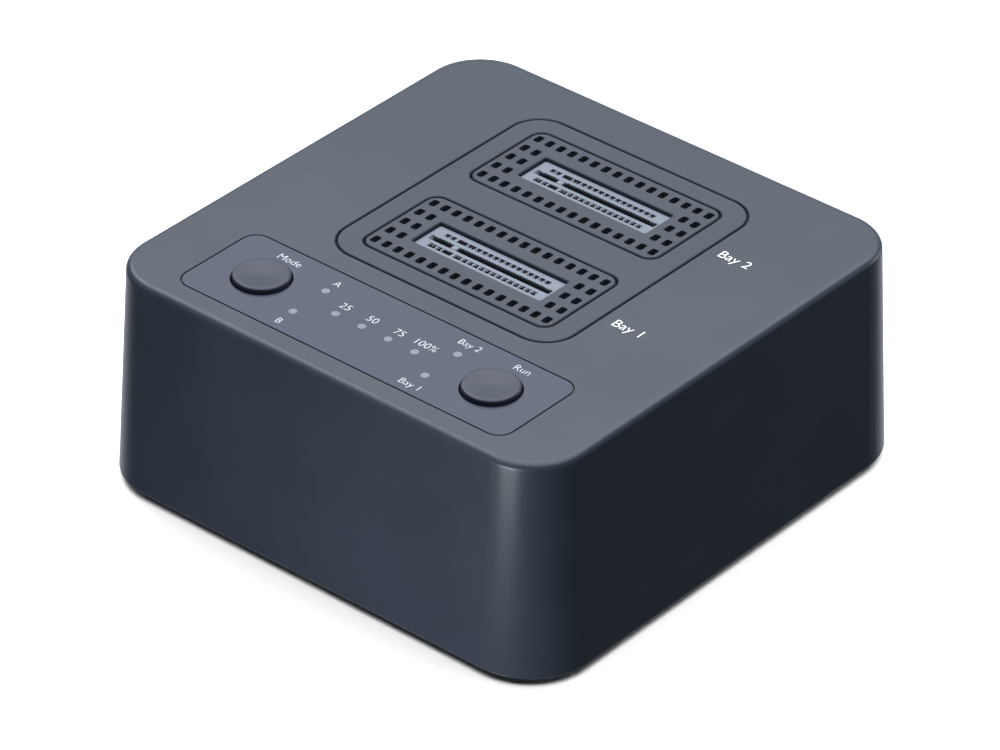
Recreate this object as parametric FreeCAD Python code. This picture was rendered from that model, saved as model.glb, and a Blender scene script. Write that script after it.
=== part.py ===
import FreeCAD, Part
import math
import os

# A two-bay M.2 drive duplicator: a small desktop box with two upright card sockets in a
# vented bay, a control strip with two buttons, and its ports in the back wall.
# Millimetres. X runs to the right along the front, Y to the back, Z up. The origin is the
# middle of the footprint, on the surface that the feet stand on.

V = FreeCAD.Vector
UP = V(0, 0, 1)
BACK = V(0, 1, 0)
RIGHT = V(1, 0, 0)

# Housing: one drafted shell, open below.
body_width = 80.0
body_depth = 80.0
housing_height = 32.6
foot_lift = 1.0
corner_radius = 10.0
draft_deg = 3.0
wall = 2.2
top_wall = 2.2
top_edge_radius = 1.0
rim_edge_radius = 0.35

# Flush inserts in the top face. A seam is the gap all round an insert.
seam = 0.3
edge_break = 0.12
bay_width = 40.0
bay_to_front = 25.4
bay_to_back = 10.0
bay_corner_radius = 5.0
bay_flange = 1.2
bay_ledge = 1.5
bay_closing = 0.3
grille_width = 32.8
grille_depth = 15.9
grille_corner_radius = 2.0
grille_thickness = 1.0
grille_ledge = 0.7
hook_clearance = 0.1
hook_thickness = 1.0
hook_catch = 0.5
hook_drop = 0.9
bay_hook_length = 6.0
bay_hook_spacing = 20.0

# Vent holes: full rows in front of and behind each socket, end columns beside it.
vent_columns = 16
vent_rows = 5
vent_end_columns = 2
vent_pitch_x = 2.0
vent_pitch_y = 3.0
vent_width = 1.1
vent_depth = 1.6
vent_corner_radius = 0.35

# Control strip.
control_to_front = 13.5
overlay_to_side = 11.5
overlay_depth = 16.0
overlay_corner_radius = 2.5
overlay_thickness = 0.5
overlay_seam = 0.25
button_to_overlay_end = 8.5
button_radius = 4.0
button_gap = 0.25
button_rise = 0.75
button_edge_radius = 0.35
button_dish = 0.12
button_flange_radius = 4.9
button_flange_thickness = 0.9
button_rest_gap = 0.15
button_stem_radius = 1.5
button_skirt = 1.0
button_core_depth = 2.6
button_stem_drop = 0.4
button_travel = 0.5

# Light guides: pipes that end flush with the overlay, on a bar under the top wall.
pipe_radius = 0.63
pipe_gap = 0.05
pipe_bar_width = 2.4
pipe_bar_thickness = 1.0
progress_count = 4
pair_to_button = 8.5
pair_spacing = 6.5

# Card sockets: 75-position, M key, 0.5 mm contact pitch.
socket_width = 22.2
socket_depth = 5.8
socket_height = 12.5
socket_recess = 0.55
socket_corner_radius = 0.3
socket_clearance = 0.15
socket_floor = 2.0
socket_skin = 0.9
socket_chamber_depth = 4.3
pin_count = 75
pin_pitch = 0.5
long_side_pin_count = 58
keyed_pin_count = 8
card_slot_width = 20.2
card_slot_gap = 0.9
card_slot_lead_in = 0.08
end_lead_in = 0.5
key_wall = 1.0
contact_width = 0.22
contact_thickness = 0.3
contact_nose_recess = 0.15
contact_below_top = 0.08
contact_nose_drop = 1.6
finger_depth = 0.42
channel_depth = 0.12
channel_clearance = 0.04
window_offset = 1.6
window_depth = 0.85
window_side_margin = 0.04
key_window_width = 1.6

# Boards.
board_thickness = 1.6
board_to_wall = 2.8
board_to_back_wall = 1.4
control_board_depth = 16.6
control_board_to_boss = 0.6
corner_boss_radius = 3.0
corner_boss_clearance = 0.8
corner_web = 1.2
main_boss_radius = 2.8
main_boss_before_source = 5.7
main_boss_behind_target = 1.3
control_boss_radius = 2.0
control_boss_inset = 2.2
control_boss_dy = 6.1

# Screws: pan heads, shank radius and a thread clearance in the boss.
thread_clearance = 0.05
base_screw_radius = 1.3
base_screw_length = 9.0
board_screw_radius = 1.0
board_screw_length = 5.0
screw_head_ratio = 1.8
screw_head_height = 1.1

# Tact switches under the buttons.
switch_side = 6.0
switch_height = 3.5
switch_bore_clearance = 0.2
plunger_radius = 1.75
plunger_rise = 1.55
plunger_depth = 1.8
plunger_bevel = 0.2
dome_radius = 1.7
dome_height = 0.35
dome_thickness = 0.1
dome_clearance = 0.2
switch_leg_width = 0.7
switch_leg_thickness = 0.3
leg_clearance = 0.15
leg_below_board = 0.6
led_width = 1.6
led_depth = 0.8
led_height = 0.6
led_gap = 0.3

# Board link: a soldered pin header between the two boards.
link_pins = 6
link_pitch = 1.27
link_pin_side = 0.4
link_body_gap = 0.2
link_to_buttons = 5.3

# Back wall: a shallow upright recess that holds the ports.
port_recess_width = 52.0
port_recess_bottom_z = 18.6
port_recess_top_z = 31.6
port_recess_depth = 2.2
port_recess_radius = 1.5
port_clearance = 0.3
usb_x = 0.0
usb_width = 8.94
usb_height = 3.26
usb_length = 7.3
usb_shell_thickness = 0.3
usb_tongue_width = 6.7
usb_tongue_thickness = 0.7
usb_tongue_length = 4.6
usb_setback = 0.2
dc_to_socket = 0.4
dc_width = 9.0
dc_height = 9.8
dc_depth = 13.5
dc_axis_height = 5.5
dc_collar_radius = 4.1
dc_bore_radius = 3.15
dc_bore_depth = 9.5
dc_pin_radius = 1.05
dc_pin_setback = 1.0
dc_wall_gap = 0.3
rocker_x = -15.5
rocker_body_width = 13.4
rocker_body_height = 8.6
rocker_body_depth = 10.0
bezel_width = 15.4
bezel_height = 10.6
bezel_thickness = 0.8
bezel_radius = 1.0
rocker_half_length = 5.4
rocker_half_height = 3.1
rocker_gap = 0.35
rocker_pivot_depth = 1.9
rocker_tip = 2.4
rocker_waist = 1.4
rocker_belly = 2.2
rocker_swing_deg = 8.0
rocker_pin_radius = 0.8
rocker_pin_length = 0.45
rocker_pin_gap = 0.12
rocker_floor_gap = 0.8
terminal_width = 1.2
terminal_thickness = 0.6

# Base.
base_thickness = 2.5
base_gap = 0.2
base_rib_width = 1.2
base_rib_depth = 1.4
base_rib_spacing = 34.0
base_rib_clearance = 1.0
foot_radius = 4.5
foot_recess = 0.5
foot_gap = 0.1
foot_bevel = 0.3
slot_count = 9
slot_pitch = 4.0
slot_width = 1.6
slot_length = 22.0

# Packages on the main board: side or width, depth and height.
bridge_chip_side = 9.0
bridge_chip_height = 0.9
bridge_chip_spacing = 14.0
controller_side = 9.0
controller_height = 1.0
memory_side = 5.0
memory_height = 1.2
memory_to_controller = 13.0
chip_bevel = 0.15
chips_before_socket = 6.0
crystal_width = 3.2
crystal_depth = 2.5
crystal_height = 0.8
crystal_corner_radius = 0.4
crystal_to_controller = 9.0
crystal_spacing = 5.0
inductor_side = 4.0
inductor_height = 2.0
inductor_corner_radius = 0.8
electrolytic_side = 5.3
electrolytic_base = 0.6
electrolytic_height = 5.4
electrolytic_bevel = 0.3
ceramic_width = 1.25
ceramic_depth = 2.0
ceramic_height = 1.2
part_pitch = 5.5
ceramic_pitch = 4.0
ceramics_to_socket = 5.0
inductors_to_socket = 9.0
electrolytics_to_socket = 12.0

# Levels and places worked out from the sizes above.
rim_z = foot_lift
top_z = rim_z + housing_height
ceiling_z = top_z - top_wall
base_top_z = rim_z + base_thickness
socket_top_z = top_z - socket_recess
main_board_top_z = socket_top_z - socket_height
main_board_bottom_z = main_board_top_z - board_thickness
overlay_bottom_z = top_z - overlay_thickness
button_top_z = top_z + button_rise
button_flange_top_z = ceiling_z - button_rest_gap
button_flange_bottom_z = button_flange_top_z - button_flange_thickness
plunger_top_z = button_flange_bottom_z - button_stem_drop
switch_top_z = plunger_top_z - plunger_rise
control_board_top_z = switch_top_z - switch_height
control_board_bottom_z = control_board_top_z - board_thickness
led_top_z = control_board_top_z + led_height
corner_x = body_width / 2 - corner_radius
corner_y = body_depth / 2 - corner_radius
bay_depth = body_depth - bay_to_front - bay_to_back
bay_centre_y = (bay_to_front - bay_to_back) / 2
bay_pitch = bay_depth / 2 - bay_closing
source_y = bay_centre_y - bay_pitch / 2
target_y = bay_centre_y + bay_pitch / 2
control_y = control_to_front - body_depth / 2
overlay_width = body_width - 2 * overlay_to_side
button_x = overlay_width / 2 - button_to_overlay_end
pair_x = button_x - pair_to_button
progress_pitch = 2 * pair_x / (progress_count + 1)
link_y = control_y - link_to_buttons
port_face_y = body_depth / 2 - port_recess_depth
control_board_width = 2 * (corner_x - corner_boss_radius - control_board_to_boss)
bay_ys = {"source": source_y, "target": target_y}
button_xs = {"mode": -button_x, "start": button_x}
screw_corners = [(sx * corner_x, sy * corner_y) for sx in (-1, 1) for sy in (-1, 1)]
main_bosses = [(sx * corner_x, y) for sx in (-1, 1)
               for y in (source_y - main_boss_before_source, target_y + main_boss_behind_target)]
control_bosses = [(sx * (control_board_width / 2 - control_boss_inset), control_y + sy * control_boss_dy)
                  for sx in (-1, 1) for sy in (-1, 1)]
dc_x = socket_width / 2 + dc_to_socket + dc_width / 2
dc_axis_z = main_board_top_z + dc_axis_height
usb_axis_z = main_board_top_z + usb_height / 2
rocker_pivot_y = port_face_y - rocker_pivot_depth
rocker_sweep_radius = math.hypot(rocker_half_length, rocker_tip)
light_guides = {
    "progress_light_guide": [
        ((i - (progress_count - 1) / 2) * progress_pitch, control_y) for i in range(progress_count)
    ],
    "mode_light_guide": [(-pair_x, control_y + s * pair_spacing / 2) for s in (-1, 1)],
    "drive_light_guide": [(pair_x, control_y + s * pair_spacing / 2) for s in (-1, 1)],
}
light_places = [place for places in light_guides.values() for place in places]


def shrink(z):
    """How far the drafted outside has come in at height z, on each side."""
    return (z - rim_z) * math.tan(math.radians(draft_deg))


def outline(width, depth, radius, z, centre=(0.0, 0.0)):
    """A closed rounded rectangle in a level plane."""
    cx, cy = centre
    half_x = width / 2 - radius
    half_y = depth / 2 - radius
    arcs = []
    for quarter, (side_x, side_y) in enumerate(((1, 1), (-1, 1), (-1, -1), (1, -1))):
        middle = V(cx + side_x * half_x, cy + side_y * half_y, z)
        spokes = [math.pi / 4 * (2 * quarter + step) for step in range(3)]
        points = [middle + V(math.cos(a), math.sin(a), 0) * radius for a in spokes]
        arcs.append(Part.Arc(*points).toShape())
    edges = []
    for arc, following in zip(arcs, arcs[1:] + arcs[:1]):
        edges.append(arc)
        edges.append(Part.makeLine(arc.lastVertex().Point, following.firstVertex().Point))
    return Part.Wire(edges)


def slab(width, depth, radius, low_z, high_z, centre=(0.0, 0.0)):
    """An upright prism on a rounded rectangle."""
    face = Part.Face(outline(width, depth, radius, low_z, centre))
    return face.extrude(UP * (high_z - low_z))


def flare(width, depth, radius, high_z, centre=(0.0, 0.0)):
    """A cutter that breaks the upper edge of a pocket that ends at high_z."""
    rings = []
    for grow in (0, 2 * edge_break):
        ring_z = high_z - edge_break + grow
        rings.append(outline(width + 2 * grow, depth + 2 * grow, radius + grow, ring_z, centre))
    return Part.makeLoft(rings, True, True)


def block(low, high):
    """A plain box between two corners."""
    size = [b - a for a, b in zip(low, high)]
    return Part.makeBox(*size, V(*low))


def centred_block(centre, width, depth, low_z, high_z):
    """A plain box about an upright centre line."""
    x, y = centre
    return block((x - width / 2, y - depth / 2, low_z), (x + width / 2, y + depth / 2, high_z))


def post(centre, radius, low_z, high_z):
    """An upright cylinder."""
    return Part.makeCylinder(radius, high_z - low_z, V(centre[0], centre[1], low_z), UP)


def prism(points, along):
    """A polygon of points pushed along a vector."""
    corners = [V(*p) for p in points]
    return Part.Face(Part.makePolygon(corners + corners[:1])).extrude(along)


def revolved(profile, centre):
    """A closed profile of (radius, z) points turned round an upright axis."""
    corners = [V(centre[0] + r, centre[1], z) for r, z in profile]
    face = Part.Face(Part.makePolygon(corners + corners[:1]))
    return face.revolve(V(centre[0], centre[1], 0), UP, 360)


def level_edges(shape, z):
    """The edges that lie at height z."""
    return [e for e in shape.Edges if all(abs(v.Z - z) < 1e-4 for v in e.Vertexes)]


def shell_body(low_z, high_z, inset):
    """The drafted outside brought in by inset, between two heights."""
    rings = []
    for z in (low_z, high_z):
        less = shrink(z) + inset
        rings.append(outline(body_width - 2 * less, body_depth - 2 * less, corner_radius - less, z))
    return Part.makeLoft(rings, True, True)


def screw(centre, seat_z, radius, length):
    """A pan-head screw that points up. Its head bears at seat_z."""
    head_radius = radius * screw_head_ratio
    bevel = screw_head_height / 3
    profile = [
        (0, seat_z - screw_head_height),
        (head_radius - bevel, seat_z - screw_head_height),
        (head_radius, seat_z - screw_head_height + bevel),
        (head_radius, seat_z),
        (radius, seat_z),
        (radius, seat_z + length - radius),
        (0, seat_z + length),
    ]
    return revolved(profile, centre)


def bosses(places, radius, low_z, hole_radius, hole_depth):
    """Round bosses that hang from the ceiling, each with a blind screw hole."""
    columns = []
    for place in places:
        column = post(place, radius, low_z, ceiling_z)
        columns.append(column.cut(post(place, hole_radius, low_z, low_z + hole_depth)))
    return columns


def within_wall(outside_at_rim, low_z, high_z):
    """A place that lies in the thickness of the drafted wall all the way from low_z to high_z."""
    inner_face = outside_at_rim - shrink(low_z) - wall
    outer_face = outside_at_rim - shrink(high_z)
    return (inner_face + outer_face) / 2


def corner_webs():
    """Webs that tie each corner boss to its corner wall."""
    reach = within_wall(corner_radius, base_top_z, ceiling_z)
    webs = []
    for x, y in screw_corners:
        web = block((0, -corner_web / 2, base_top_z), (reach, corner_web / 2, ceiling_z))
        web = web.cut(post((0, 0), corner_boss_radius - 0.1, base_top_z, ceiling_z))
        web.rotate(V(0, 0, 0), UP, math.degrees(math.atan2(y, x)))
        web.translate(V(x, y, 0))
        webs.append(web)
    return webs


def base_ribs():
    """Wall ribs whose lower ends stop the base cover."""
    ribs = []
    high_z = main_board_bottom_z - base_rib_clearance
    for turn in range(4):
        half = (body_width if turn % 2 == 0 else body_depth) / 2
        inner = half - wall - shrink(high_z) - base_rib_depth
        outer = within_wall(half, base_top_z, high_z)
        for side in (-1, 1):
            y = side * base_rib_spacing / 2
            low = (inner, y - base_rib_width / 2, base_top_z)
            rib = block(low, (outer, y + base_rib_width / 2, high_z))
            rib.rotate(V(0, 0, 0), UP, 90 * turn)
            ribs.append(rib)
    return ribs


def port_openings():
    """The recess in the back wall and the three holes in its floor."""
    inner_y = body_depth / 2 - wall * 2.5
    middle_z = (port_recess_bottom_z + port_recess_top_z) / 2
    recess = slab(
        port_recess_width, port_recess_top_z - port_recess_bottom_z, port_recess_radius, 0, wall * 2
    )
    recess.rotate(V(0, 0, 0), RIGHT, -90)
    recess.translate(V(0, port_face_y, middle_z))
    usb = slab(usb_width + 2 * port_clearance, usb_height + 2 * port_clearance,
               usb_height / 2 + port_clearance - 0.05, 0, wall * 3)
    usb.rotate(V(0, 0, 0), RIGHT, -90)
    usb.translate(V(usb_x, inner_y, usb_axis_z))
    barrel = Part.makeCylinder(dc_collar_radius + port_clearance, wall * 3, V(dc_x, inner_y, dc_axis_z), BACK)
    half_width = rocker_body_width / 2 + rocker_gap / 2
    half_height = rocker_body_height / 2 + rocker_gap / 2
    rocker = block((rocker_x - half_width, inner_y, dc_axis_z - half_height),
                   (rocker_x + half_width, inner_y + wall * 3, dc_axis_z + half_height))
    return [recess, usb, barrel, rocker]


def top_housing():
    """The moulded shell with its bosses, ribs, pockets and openings."""
    outside = shell_body(rim_z, top_z, 0)
    outside = outside.makeFillet(top_edge_radius, level_edges(outside, top_z))
    outside = outside.makeFillet(rim_edge_radius, level_edges(outside, rim_z))
    shell = outside.cut(shell_body(rim_z - 1, ceiling_z, wall))
    base_hole = base_screw_radius + thread_clearance
    board_hole = board_screw_radius + thread_clearance
    shell = shell.fuse(
        bosses(screw_corners, corner_boss_radius, base_top_z, base_hole, base_screw_length + 1)
        + bosses(main_bosses, main_boss_radius, main_board_top_z, board_hole, board_screw_length)
        + bosses(control_bosses, control_boss_radius, control_board_top_z, board_hole, board_screw_length)
        + corner_webs()
        + base_ribs()
    )
    bay_centre = (0, bay_centre_y)
    cuts = [
        slab(bay_width + seam, bay_depth + seam, bay_corner_radius, top_z - bay_flange, top_z + 1, bay_centre),
        flare(bay_width + seam, bay_depth + seam, bay_corner_radius, top_z, bay_centre),
        slab(bay_width - 2 * bay_ledge, bay_depth - 2 * bay_ledge, bay_corner_radius - bay_ledge,
             ceiling_z - 1, top_z, bay_centre),
        slab(overlay_width + overlay_seam, overlay_depth + overlay_seam, overlay_corner_radius,
             overlay_bottom_z, top_z + 1, (0, control_y)),
    ]
    for x in button_xs.values():
        cuts.append(post((x, control_y), button_radius + button_gap, ceiling_z - 1, top_z))
    for place in light_places:
        cuts.append(post(place, pipe_radius + pipe_gap, ceiling_z - 1, top_z))
    return shell.cut(cuts + port_openings()).removeSplitter()


def hook(edge, side, spread, length, foot_z, catch_z):
    """A snap hook: a leg down from foot_z whose catch points outwards under catch_z.

    edge is the outer face of the leg on the +X or -X side, spread its middle in Y.
    """
    outline_points = [
        (edge - hook_thickness, foot_z),
        (edge, foot_z),
        (edge, catch_z),
        (edge + hook_catch, catch_z),
        (edge, catch_z - hook_drop),
        (edge - hook_thickness, catch_z - hook_drop),
    ]
    points = [(side * x, spread - length / 2, z) for x, z in outline_points]
    return prism(points, BACK * length)


def bay_plate():
    """The insert that fills the bay, with a stepped opening for each grille and four snap hooks."""
    centre = (0, bay_centre_y)
    fit = bay_ledge + hook_clearance
    plate = slab(bay_width - seam, bay_depth - seam, bay_corner_radius - seam, top_z - bay_flange, top_z, centre)
    plate = plate.makeChamfer(edge_break, level_edges(plate, top_z))
    plate = plate.fuse(slab(bay_width - 2 * fit, bay_depth - 2 * fit, bay_corner_radius - fit,
                            ceiling_z, top_z - bay_flange, centre))
    edge = bay_width / 2 - fit
    hooks = []
    for side in (-1, 1):
        for step in (-1, 1):
            spread = bay_centre_y + step * bay_hook_spacing / 2
            hooks.append(hook(edge, side, spread, bay_hook_length, ceiling_z, ceiling_z - hook_clearance))
    plate = plate.fuse(hooks)
    cuts = []
    for y in bay_ys.values():
        cuts.append(slab(grille_width + seam, grille_depth + seam, grille_corner_radius,
                         top_z - grille_thickness, top_z + 1, (0, y)))
        cuts.append(flare(grille_width + seam, grille_depth + seam, grille_corner_radius, top_z, (0, y)))
        cuts.append(slab(grille_width - 2 * grille_ledge, grille_depth - 2 * grille_ledge,
                         grille_corner_radius - grille_ledge, ceiling_z - 1, top_z, (0, y)))
    return plate.cut(cuts).removeSplitter()


def vent_places(y):
    """The middle of each vent hole round the socket at y."""
    places = []
    for row in range(vent_rows):
        for column in range(vent_columns):
            end_column = min(column, vent_columns - 1 - column) < vent_end_columns
            if row in (0, vent_rows - 1) or end_column:
                across = (column - (vent_columns - 1) / 2) * vent_pitch_x
                along = (row - (vent_rows - 1) / 2) * vent_pitch_y
                places.append((across, y + along))
    return places


def grille(y):
    """A vented insert round one socket, held by a hook between the vents at each end."""
    low_z = top_z - grille_thickness
    plate = slab(grille_width - seam, grille_depth - seam, grille_corner_radius - seam / 2, low_z, top_z, (0, y))
    plate = plate.makeChamfer(edge_break, level_edges(plate, top_z))
    edge = grille_width / 2 - grille_ledge - hook_clearance
    length = vent_pitch_y - vent_depth - 2 * hook_clearance
    hooks = []
    for side in (-1, 1):
        for step in (-0.5, 0.5):
            spread = y + step * vent_pitch_y
            hooks.append(hook(edge, side, spread, length, low_z, ceiling_z - hook_clearance))
    plate = plate.fuse(hooks)
    mouth_width = socket_width + 2 * socket_clearance
    mouth_depth = socket_depth + 2 * socket_clearance
    mouth = [slab(mouth_width, mouth_depth, socket_corner_radius, low_z - 1, top_z + 1, (0, y)),
             flare(mouth_width, mouth_depth, socket_corner_radius, top_z, (0, y))]
    vents = [
        slab(vent_width, vent_depth, vent_corner_radius, low_z - 1, top_z + 1, place) for place in vent_places(y)
    ]
    return plate.cut(mouth + vents).removeSplitter()


def control_overlay():
    """The thin strip that fills its recess, holed for the buttons and the light pipes."""
    strip = slab(overlay_width - overlay_seam, overlay_depth - overlay_seam, overlay_corner_radius - overlay_seam,
                 overlay_bottom_z, top_z, (0, control_y))
    holes = [post((x, control_y), button_radius + button_gap, overlay_bottom_z, top_z) for x in button_xs.values()]
    holes += [post(place, pipe_radius + pipe_gap, overlay_bottom_z, top_z) for place in light_places]
    return strip.cut(holes)


def light_guide(places):
    """Clear pipes down to their lamps, joined by a bar against the ceiling."""
    xs = [x for x, _ in places]
    ys = [y for _, y in places]
    centre = ((min(xs) + max(xs)) / 2, (min(ys) + max(ys)) / 2)
    bar = slab(max(xs) - min(xs) + pipe_bar_width, max(ys) - min(ys) + pipe_bar_width, pipe_bar_width / 2 - 0.01,
               ceiling_z - pipe_bar_thickness, ceiling_z, centre)
    pipes = [post(place, pipe_radius, led_top_z + led_gap, top_z) for place in places]
    return bar.fuse(pipes).removeSplitter()


def button_cap(x):
    """A cored cap: dished top, rounded rim, retaining flange and a stem to its switch."""
    inner = button_radius - button_skirt
    core_z = button_flange_bottom_z + button_core_depth
    dish_radius = button_radius - button_edge_radius * 2
    profile = [
        (0, plunger_top_z),
        (button_stem_radius, plunger_top_z),
        (button_stem_radius, core_z),
        (inner, core_z),
        (inner, button_flange_bottom_z),
        (button_flange_radius, button_flange_bottom_z),
        (button_flange_radius, button_flange_top_z),
        (button_radius, button_flange_top_z),
        (button_radius, button_top_z),
        (dish_radius, button_top_z),
        (0, button_top_z - button_dish),
    ]
    cap = revolved(profile, (x, control_y))
    rim = [e for e in level_edges(cap, button_top_z) if abs(e.Curve.Radius - button_radius) < 1e-3]
    return cap.makeFillet(button_edge_radius, rim)


def bore_floor_z():
    """The floor of a tact switch's bore: room for the plunger, its travel and the dome."""
    plunger_bottom = switch_top_z - plunger_depth
    return plunger_bottom - button_travel - dome_clearance - dome_height


def switch_body(x):
    """The tact switch's moulded body with the plunger's bore."""
    body = centred_block((x, control_y), switch_side, switch_side, control_board_top_z, switch_top_z)
    upright = [e for e in body.Edges if abs(e.tangentAt(e.FirstParameter).z) > 0.9]
    body = body.makeFillet(0.4, upright)
    return body.cut(post((x, control_y), plunger_radius + switch_bore_clearance, bore_floor_z(), switch_top_z))


def switch_plunger(x):
    """The plunger that the button's stem bears on."""
    plunger = post((x, control_y), plunger_radius, switch_top_z - plunger_depth, plunger_top_z)
    return plunger.makeChamfer(plunger_bevel, level_edges(plunger, plunger_top_z))


def switch_dome(x):
    """The snap dome on the floor of the bore."""
    floor = bore_floor_z()
    crown = dome_radius * 0.45
    profile = [
        (0, floor + dome_height),
        (crown, floor + dome_height),
        (dome_radius, floor + dome_thickness),
        (dome_radius, floor),
        (crown, floor + dome_height - dome_thickness),
        (0, floor + dome_height - dome_thickness),
    ]
    return revolved(profile, (x, control_y))


def switch_leg_places():
    """The four legs of each tact switch, just outside its body."""
    reach = switch_side / 2 + switch_leg_thickness / 2
    return [(x + sx * switch_side / 4, control_y + sy * reach)
            for x in button_xs.values() for sx in (-1, 1) for sy in (-1, 1)]


def switch_legs():
    """Flat legs that run from the switch's side down through the control board."""
    low_z = control_board_bottom_z - leg_below_board
    high_z = control_board_top_z + switch_height / 3
    return [centred_block(p, switch_leg_width, switch_leg_thickness, low_z, high_z) for p in switch_leg_places()]


def contact_places(first_pin):
    """X of each contact of one row, from the short side to the long side, without the keyed ones."""
    middle_pin = (pin_count + 1) / 2
    short_side = []
    long_side = []
    for pin in range(pin_count - (pin_count - first_pin) % 2, 0, -2):
        x = (middle_pin - pin) * pin_pitch / 2
        if pin > long_side_pin_count + keyed_pin_count:
            short_side.append(x)
        elif pin <= long_side_pin_count:
            long_side.append(x)
    return short_side, long_side


def key_x():
    """The middle of the key wall."""
    middle_pin = (pin_count + 1) / 2
    return (middle_pin - long_side_pin_count - (keyed_pin_count + 1) / 2) * pin_pitch / 2


def windows(xs):
    """Middle and width of each window over a run of contacts: twos, after a three if they are odd."""
    sizes = [2 + len(xs) % 2] + [2] * (len(xs) // 2 - 1)
    spans = []
    start = 0
    for size in sizes:
        group = xs[start:start + size]
        start += size
        spans.append(((group[0] + group[-1]) / 2, (size - 1) * pin_pitch + contact_width + 2 * window_side_margin))
    return spans


def socket_floor_z():
    """The top of the socket's floor, where the contacts come out of it."""
    return main_board_top_z + socket_floor


def socket_insulator(y):
    """The moulded socket: a floor for the contacts, two end walls with lead-ins and the key wall."""
    low_z = main_board_top_z
    half_slot = card_slot_width / 2
    body = slab(socket_width, socket_depth, socket_corner_radius, low_z, socket_top_z, (0, y))
    inside = centred_block((0, y), card_slot_width, socket_depth + 1, socket_floor_z(), socket_top_z)
    half_key = key_wall / 2
    shoulder_z = socket_top_z - card_slot_lead_in
    crest = half_key - card_slot_lead_in
    section = [(-half_key, low_z), (half_key, low_z), (half_key, shoulder_z), (crest, socket_top_z),
               (-crest, socket_top_z), (-half_key, shoulder_z)]
    key = prism([(key_x() + across, y - card_slot_gap / 2, z) for across, z in section], BACK * card_slot_gap)
    half_mouth = card_slot_gap / 2 + card_slot_lead_in
    cuts = []
    for side in (-1, 1):
        ramp = [(half_slot - 0.1, socket_top_z - end_lead_in - 0.1), (half_slot + end_lead_in, socket_top_z),
                (half_slot + end_lead_in, socket_top_z + 1), (half_slot - 0.1, socket_top_z + 1)]
        cuts.append(prism([(side * x, y - half_mouth, z) for x, z in ramp], BACK * 2 * half_mouth))
    for side, first_pin in ((-1, 1), (1, 2)):
        for x in sum(contact_places(first_pin), []):
            tail = (x, y + side * (window_offset - contact_thickness / 2))
            cuts.append(centred_block(tail, contact_width, contact_thickness, low_z, socket_floor_z()))
    return body.cut(inside).fuse(key).cut(cuts).removeSplitter()


def socket_comb(y, side, first_pin):
    """One side wall of the socket: a contact chamber under a skin with windows and contact channels."""
    floor_z = socket_floor_z()
    skin_z = socket_top_z - socket_skin
    inner = card_slot_gap / 2
    outer = socket_depth / 2
    half_slot = card_slot_width / 2
    section = [(inner, floor_z), (outer, floor_z), (outer, socket_top_z), (inner + card_slot_lead_in, socket_top_z),
               (inner, socket_top_z - card_slot_lead_in)]
    comb = prism([(-half_slot, y + side * across, z) for across, z in section], RIGHT * card_slot_width)
    cuts = []
    chamber_depth = socket_chamber_depth / 2 - inner
    chamber_y = y + side * (inner + chamber_depth / 2)
    for start, end in ((-half_slot, key_x() - key_wall / 2), (key_x() + key_wall / 2, half_slot)):
        cuts.append(centred_block(((start + end) / 2, chamber_y), end - start, chamber_depth, floor_z, skin_z))
    window_y = y + side * window_offset
    cuts.append(centred_block((key_x(), window_y), key_window_width, window_depth, skin_z, socket_top_z))
    channel_y = y + side * (inner + channel_depth / 2)
    for places in contact_places(first_pin):
        for x, width in windows(places):
            cuts.append(centred_block((x, window_y), width, window_depth, skin_z, socket_top_z))
        for x in places:
            width = contact_width + 2 * channel_clearance
            cuts.append(centred_block((x, channel_y), width, channel_depth, skin_z, socket_top_z))
    return comb.cut(cuts).removeSplitter()


def contact(x, y, side):
    """One spring contact: a foot on the board, a nose that bears on the card, a finger in its window."""
    foot_inner = window_offset - contact_thickness
    knee_z = socket_floor_z() + contact_thickness
    reach_z = socket_top_z - socket_skin - contact_thickness / 2
    nose_z = reach_z - contact_nose_drop
    tip_z = socket_top_z - contact_below_top
    nose = card_slot_gap / 2 + contact_nose_recess
    finger = window_offset - window_depth / 2 + contact_width / 8
    section = [
        (foot_inner, main_board_top_z), (window_offset, main_board_top_z), (window_offset, knee_z),
        (nose + contact_thickness, nose_z), (finger + finger_depth, reach_z), (finger + finger_depth, tip_z),
        (finger, tip_z), (finger, reach_z), (nose, nose_z), (foot_inner, knee_z),
    ]
    points = [(x - contact_width / 2, y + side * across, z) for across, z in section]
    return prism(points, RIGHT * contact_width)


def socket_contacts(y):
    """All the contacts of one socket: odd pins in front, even pins behind."""
    contacts = []
    for side, first_pin in ((-1, 1), (1, 2)):
        contacts += [contact(x, y, side) for x in sum(contact_places(first_pin), [])]
    return contacts


def link_places():
    """The pins of the board link, two rows."""
    return [((i - (link_pins - 1) / 2) * link_pitch, link_y + s * link_pitch / 2)
            for i in range(link_pins) for s in (-1, 1)]


def rocker_terminal_places():
    """Where the rocker switch's terminals pass through the main board."""
    y = port_face_y - rocker_body_depth - terminal_thickness / 2
    return [(rocker_x + s * rocker_body_width / 4, y) for s in (-1, 1)]


def leg_hole(place, width, depth, low_z, high_z):
    """A clearance hole for a leg."""
    return centred_block(place, width + 2 * leg_clearance, depth + 2 * leg_clearance, low_z, high_z)


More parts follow.
